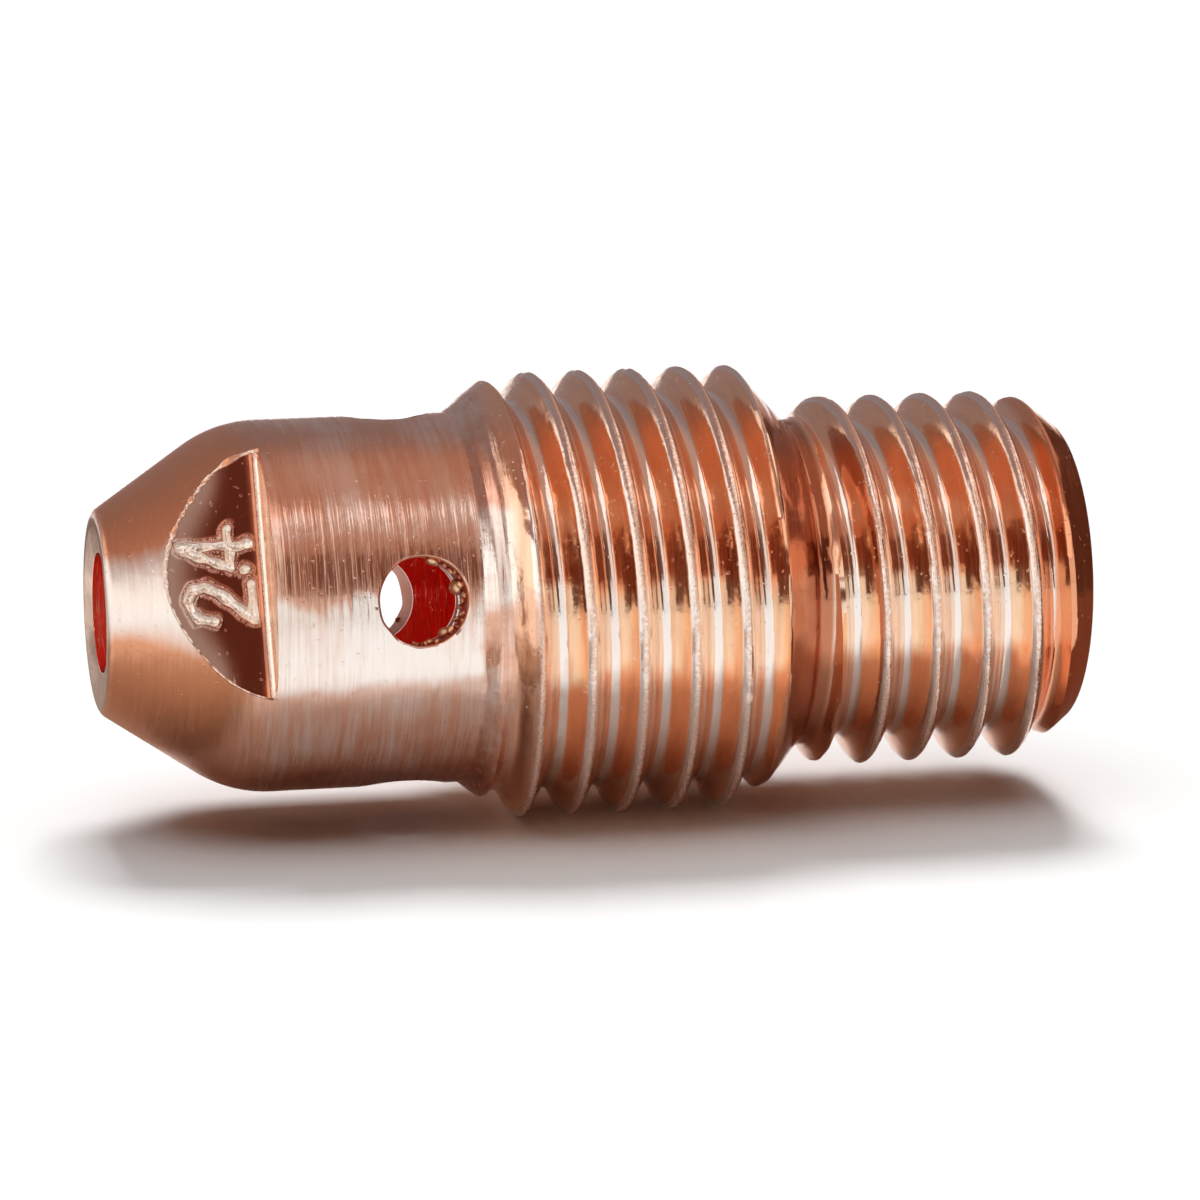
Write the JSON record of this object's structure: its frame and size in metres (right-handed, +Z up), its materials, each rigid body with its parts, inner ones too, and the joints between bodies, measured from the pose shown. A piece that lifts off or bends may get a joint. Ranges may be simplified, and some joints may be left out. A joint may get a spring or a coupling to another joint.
{
  "type": "tig torch collet body",
  "caption": "Copper TIG torch collet body with a conical nose, cross-drilled gas ports, a nozzle thread, a smaller torch thread and a stepped bore for a collet and electrode.",
  "frame": {"origin": "middle of the rear face, on the turning axis, where the torch head's thread holds the part", "axes": "+X along the turning axis from the nose towards the torch head, +Z up as the part lies in the picture"},
  "size_m": [0.0202, 0.0092, 0.0092],
  "materials": {
    "copper": "bright turned copper with fine tool marks"
  },
  "bodies": {
    "root": {"collet_body": "copper"}
  },
  "joints": []
}
